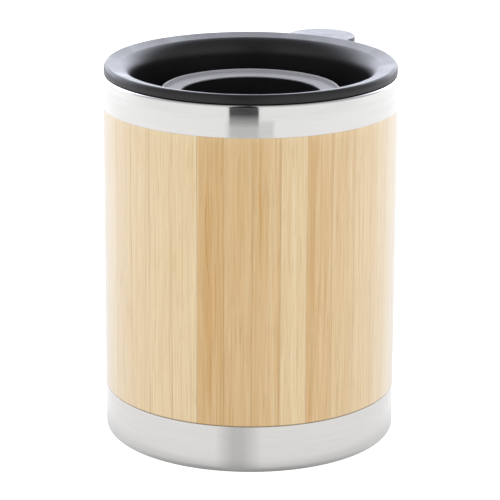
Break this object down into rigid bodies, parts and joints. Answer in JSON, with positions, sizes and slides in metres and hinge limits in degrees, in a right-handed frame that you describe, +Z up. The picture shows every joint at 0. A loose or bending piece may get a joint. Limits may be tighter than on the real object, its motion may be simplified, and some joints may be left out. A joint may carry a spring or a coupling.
{
  "type": "travel mug",
  "caption": "Round travel mug with a bamboo-clad steel cup, a push-in lid with a lifting tab, and a turning dial that opens the drink slot.",
  "frame": {"origin": "on the mug's axis, in the plane of the ring that it stands on", "axes": "+Z up along the mug's axis; the side that the picture shows faces -Y, with +X to the right"},
  "size_m": [0.0856, 0.089, 0.1088],
  "materials": {
    "cup_steel": "satin",
    "band_steel": "brushed round the axis",
    "bamboo": "sanded and oiled, upright grain",
    "spacer_plastic": "moulded",
    "lid_plastic": "satin moulded",
    "ring_plastic": "matte moulded",
    "seal_silicone": "matte",
    "clip_plastic": "moulded"
  },
  "bodies": {
    "mug": {"inner_cup": "cup_steel", "mouth_band": "band_steel", "base_cup": "band_steel", "cup_spacer": "spacer_plastic", "bamboo_stave_01": "bamboo", "bamboo_stave_02": "bamboo", "bamboo_stave_03": "bamboo", "bamboo_stave_04": "bamboo", "bamboo_stave_05": "bamboo", "bamboo_stave_06": "bamboo", "bamboo_stave_07": "bamboo", "bamboo_stave_08": "bamboo", "bamboo_stave_09": "bamboo", "bamboo_stave_10": "bamboo", "bamboo_stave_11": "bamboo", "bamboo_stave_12": "bamboo", "bamboo_stave_13": "bamboo", "bamboo_stave_14": "bamboo", "bamboo_stave_15": "bamboo", "bamboo_stave_16": "bamboo", "bamboo_stave_17": "bamboo", "bamboo_stave_18": "bamboo", "bamboo_stave_19": "bamboo", "bamboo_stave_20": "bamboo", "bamboo_stave_21": "bamboo", "bamboo_stave_22": "bamboo", "bamboo_stave_23": "bamboo", "bamboo_stave_24": "bamboo", "bamboo_stave_25": "bamboo", "bamboo_stave_26": "bamboo", "bamboo_stave_27": "bamboo", "bamboo_stave_28": "bamboo", "bamboo_stave_29": "bamboo", "bamboo_stave_30": "bamboo", "bamboo_stave_31": "bamboo", "bamboo_stave_32": "bamboo", "bamboo_stave_33": "bamboo", "bamboo_stave_34": "bamboo"},
    "lid": {"lid_body": "lid_plastic", "lid_seal": "seal_silicone"},
    "dial": {"dial": "lid_plastic", "dial_ring": "ring_plastic", "gate_pad": "seal_silicone", "spindle_seal": "seal_silicone", "dial_clip": "clip_plastic"}
  },
  "joints": [
    {"name": "lid_lift", "type": "slide", "parent": "mug", "child": "lid", "axis": [0, 0, 1], "range_m": [0, 0.04]},
    {"name": "dial_turn", "type": "hinge", "parent": "lid", "child": "dial", "pos_m": [0, 0, 0.09], "axis": [0, 0, 1], "range_deg": [0, 75]}
  ]
}
